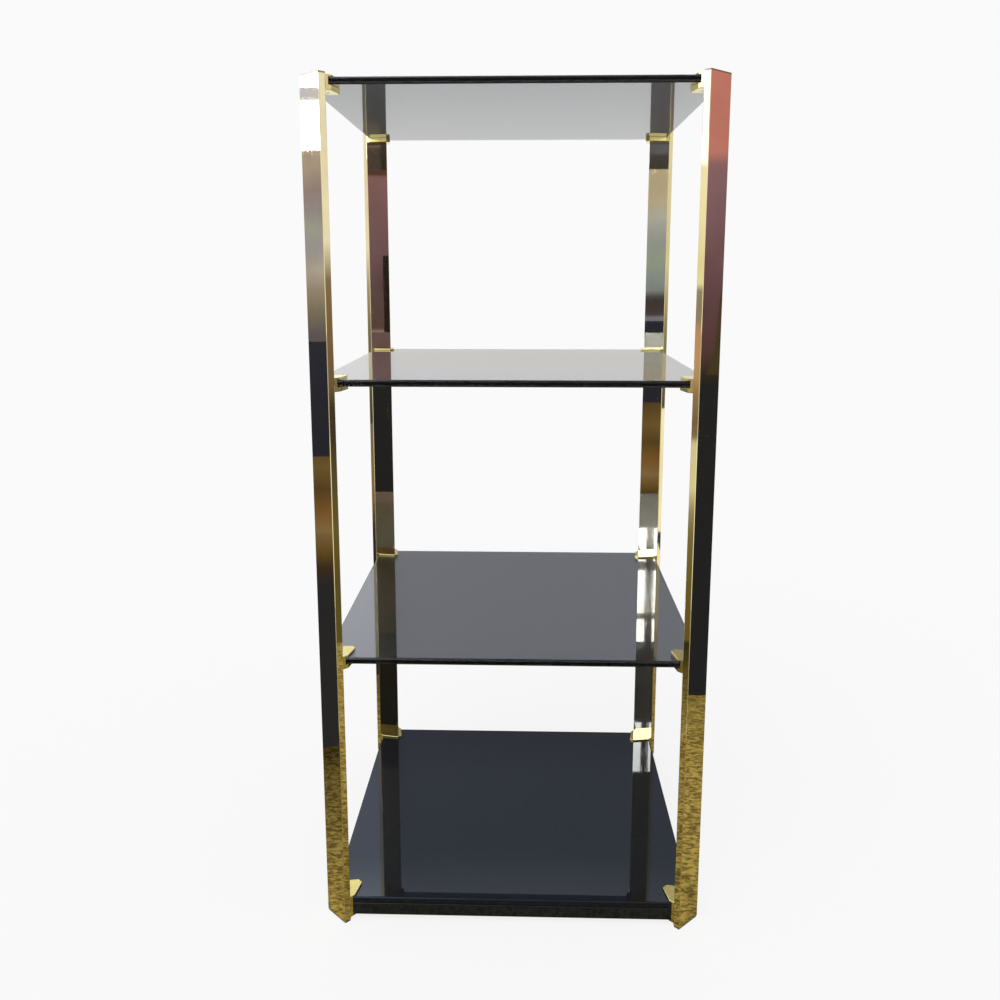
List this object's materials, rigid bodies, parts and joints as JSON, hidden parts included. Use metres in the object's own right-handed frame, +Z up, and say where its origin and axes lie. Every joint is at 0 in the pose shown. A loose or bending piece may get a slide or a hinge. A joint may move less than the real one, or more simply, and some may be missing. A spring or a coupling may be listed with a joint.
{
  "type": "etagere",
  "caption": "Square display etagere: flat polished brass posts set across the corners, slotted brass corner clamps, smoked glass shelves and a thick black bottom shelf.",
  "frame": {"origin": "on the floor, at the middle of the square plan", "axes": "+X to the right of the pictured front, +Y to the back, +Z up"},
  "size_m": [0.74, 0.74, 1.6],
  "materials": {
    "polished_brass": "mirror-polished, with light wear",
    "smoked_glass": "polished smoked float glass",
    "black_glass": "polished, opaque black",
    "black_lacquer": "black gloss lacquer",
    "zinc_steel": "zinc plated",
    "dark_steel": "black oxide",
    "black_plastic": "satin",
    "soft_pad": "matte"
  },
  "bodies": {
    "root": {"post_front_left": "polished_brass", "post_cap_front_left": "polished_brass", "post_foot_front_left": "black_plastic", "clamp_top_front_left": "polished_brass", "clamp_upper_front_left": "polished_brass", "clamp_lower_front_left": "polished_brass", "clamp_bottom_front_left": "polished_brass", "post_front_right": "polished_brass", "post_cap_front_right": "polished_brass", "post_foot_front_right": "black_plastic", "clamp_top_front_right": "polished_brass", "clamp_upper_front_right": "polished_brass", "clamp_lower_front_right": "polished_brass", "clamp_bottom_front_right": "polished_brass", "post_back_right": "polished_brass", "post_cap_back_right": "polished_brass", "post_foot_back_right": "black_plastic", "clamp_top_back_right": "polished_brass", "clamp_upper_back_right": "polished_brass", "clamp_lower_back_right": "polished_brass", "clamp_bottom_back_right": "polished_brass", "post_back_left": "polished_brass", "post_cap_back_left": "polished_brass", "post_foot_back_left": "black_plastic", "clamp_top_back_left": "polished_brass", "clamp_upper_back_left": "polished_brass", "clamp_lower_back_left": "polished_brass", "clamp_bottom_back_left": "polished_brass", "glass_shelf_top": "smoked_glass", "glass_shelf_upper": "smoked_glass", "glass_shelf_lower": "smoked_glass", "bottom_glass": "black_glass", "bottom_board": "black_lacquer", "clamp_screws_top": "zinc_steel", "backing_plates_top": "zinc_steel", "jaw_pads_top": "soft_pad", "grub_screws_top": "dark_steel", "pressure_discs_top": "soft_pad", "clamp_screws_upper": "zinc_steel", "backing_plates_upper": "zinc_steel", "jaw_pads_upper": "soft_pad", "grub_screws_upper": "dark_steel", "pressure_discs_upper": "soft_pad", "clamp_screws_lower": "zinc_steel", "backing_plates_lower": "zinc_steel", "jaw_pads_lower": "soft_pad", "grub_screws_lower": "dark_steel", "pressure_discs_lower": "soft_pad", "clamp_screws_bottom": "zinc_steel", "backing_plates_bottom": "zinc_steel", "jaw_pads_bottom": "soft_pad", "grub_screws_bottom": "dark_steel", "pressure_discs_bottom": "soft_pad"}
  },
  "joints": []
}
